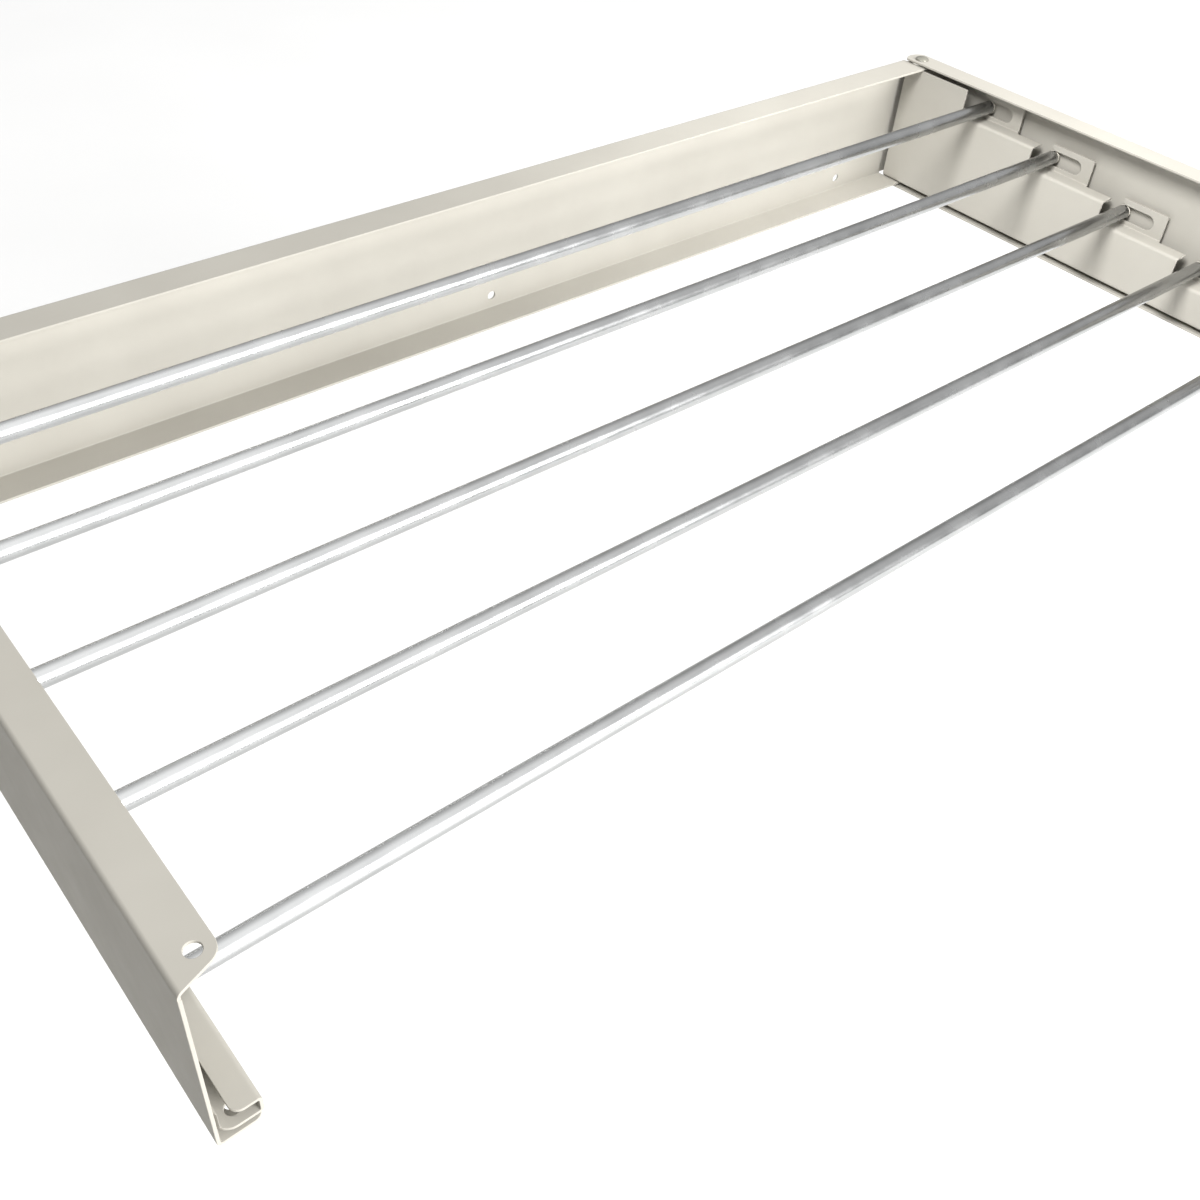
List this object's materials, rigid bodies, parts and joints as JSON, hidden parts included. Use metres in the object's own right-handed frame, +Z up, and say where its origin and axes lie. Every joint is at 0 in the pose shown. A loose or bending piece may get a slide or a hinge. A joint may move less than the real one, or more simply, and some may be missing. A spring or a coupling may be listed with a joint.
{
  "type": "wall mounted folding drying rack",
  "caption": "Shallow wall bracket with channel-shaped arms that swing sideways on vertical rivets and carry stepped rows of round hanging rods.",
  "frame": {"origin": "on the bracket's back face, which lies on the wall, at half its length and half its height", "axes": "+Y out of the back face into the wall, +X along the bracket, +Z up; the arms reach towards -Y"},
  "size_m": [0.838, 0.4095, 0.1046],
  "materials": {
    "powder_coat": "cream powder coat, fine satin texture",
    "insert_coat": "cream powder coat, fine satin texture",
    "rod_aluminium": "polished and anodised",
    "plug_plastic": "cream moulded plastic",
    "rivet_steel": "dull coated steel",
    "washer_nylon": "natural nylon"
  },
  "bodies": {
    "wall_bracket": {"wall_bracket": "powder_coat", "right_upper_rivet": "rivet_steel", "right_lower_rivet": "rivet_steel", "left_upper_rivet": "rivet_steel", "left_lower_rivet": "rivet_steel", "right_upper_washer": "washer_nylon", "right_lower_washer": "washer_nylon", "left_upper_washer": "washer_nylon", "left_lower_washer": "washer_nylon"},
    "right_arm": {"right_arm_channel": "powder_coat", "right_stepped_insert": "insert_coat"},
    "left_arm": {"left_arm_channel": "powder_coat", "left_slotted_insert": "insert_coat"},
    "rod_1": {"rod_1": "rod_aluminium", "rod_1_right_plug": "plug_plastic", "rod_1_left_plug": "plug_plastic"},
    "rod_2": {"rod_2": "rod_aluminium", "rod_2_right_plug": "plug_plastic", "rod_2_left_plug": "plug_plastic"},
    "rod_3": {"rod_3": "rod_aluminium", "rod_3_right_plug": "plug_plastic", "rod_3_left_plug": "plug_plastic"},
    "rod_4": {"rod_4": "rod_aluminium", "rod_4_right_plug": "plug_plastic", "rod_4_left_plug": "plug_plastic"},
    "rod_5": {"rod_5": "rod_aluminium", "rod_5_right_plug": "plug_plastic", "rod_5_left_plug": "plug_plastic"}
  },
  "joints": [
    {"name": "right_arm_fold", "type": "hinge", "parent": "wall_bracket", "child": "right_arm", "pos_m": [0.4075, -0.0135, 0], "axis": [0, 0, -1], "range_deg": [0, 90]},
    {"name": "left_arm_fold", "type": "hinge", "parent": "wall_bracket", "child": "left_arm", "pos_m": [-0.4075, -0.0135, 0], "axis": [0, 0, -1], "range_deg": [0, 90]},
    {"name": "rod_1_pivot", "type": "hinge", "parent": "right_arm", "child": "rod_1", "pos_m": [0.4075, -0.0795, 0.034], "axis": [0, 0, 1], "range_deg": [0, 90]},
    {"name": "rod_2_pivot", "type": "hinge", "parent": "right_arm", "child": "rod_2", "pos_m": [0.4075, -0.144, 0.0188], "axis": [0, 0, 1], "range_deg": [0, 90]},
    {"name": "rod_3_pivot", "type": "hinge", "parent": "right_arm", "child": "rod_3", "pos_m": [0.4075, -0.2115, 0.0036], "axis": [0, 0, 1], "range_deg": [0, 90]},
    {"name": "rod_4_pivot", "type": "hinge", "parent": "right_arm", "child": "rod_4", "pos_m": [0.4075, -0.279, -0.0116], "axis": [0, 0, 1], "range_deg": [0, 90]},
    {"name": "rod_5_pivot", "type": "hinge", "parent": "right_arm", "child": "rod_5", "pos_m": [0.4075, -0.3535, -0.0268], "axis": [0, 0, 1], "range_deg": [0, 90]}
  ],
  "couplings": [
    {"joint": "left_arm_fold", "follows": "right_arm_fold", "ratio": 1},
    {"joint": "rod_1_pivot", "follows": "right_arm_fold", "ratio": 1},
    {"joint": "rod_2_pivot", "follows": "right_arm_fold", "ratio": 1},
    {"joint": "rod_3_pivot", "follows": "right_arm_fold", "ratio": 1},
    {"joint": "rod_4_pivot", "follows": "right_arm_fold", "ratio": 1},
    {"joint": "rod_5_pivot", "follows": "right_arm_fold", "ratio": 1}
  ]
}
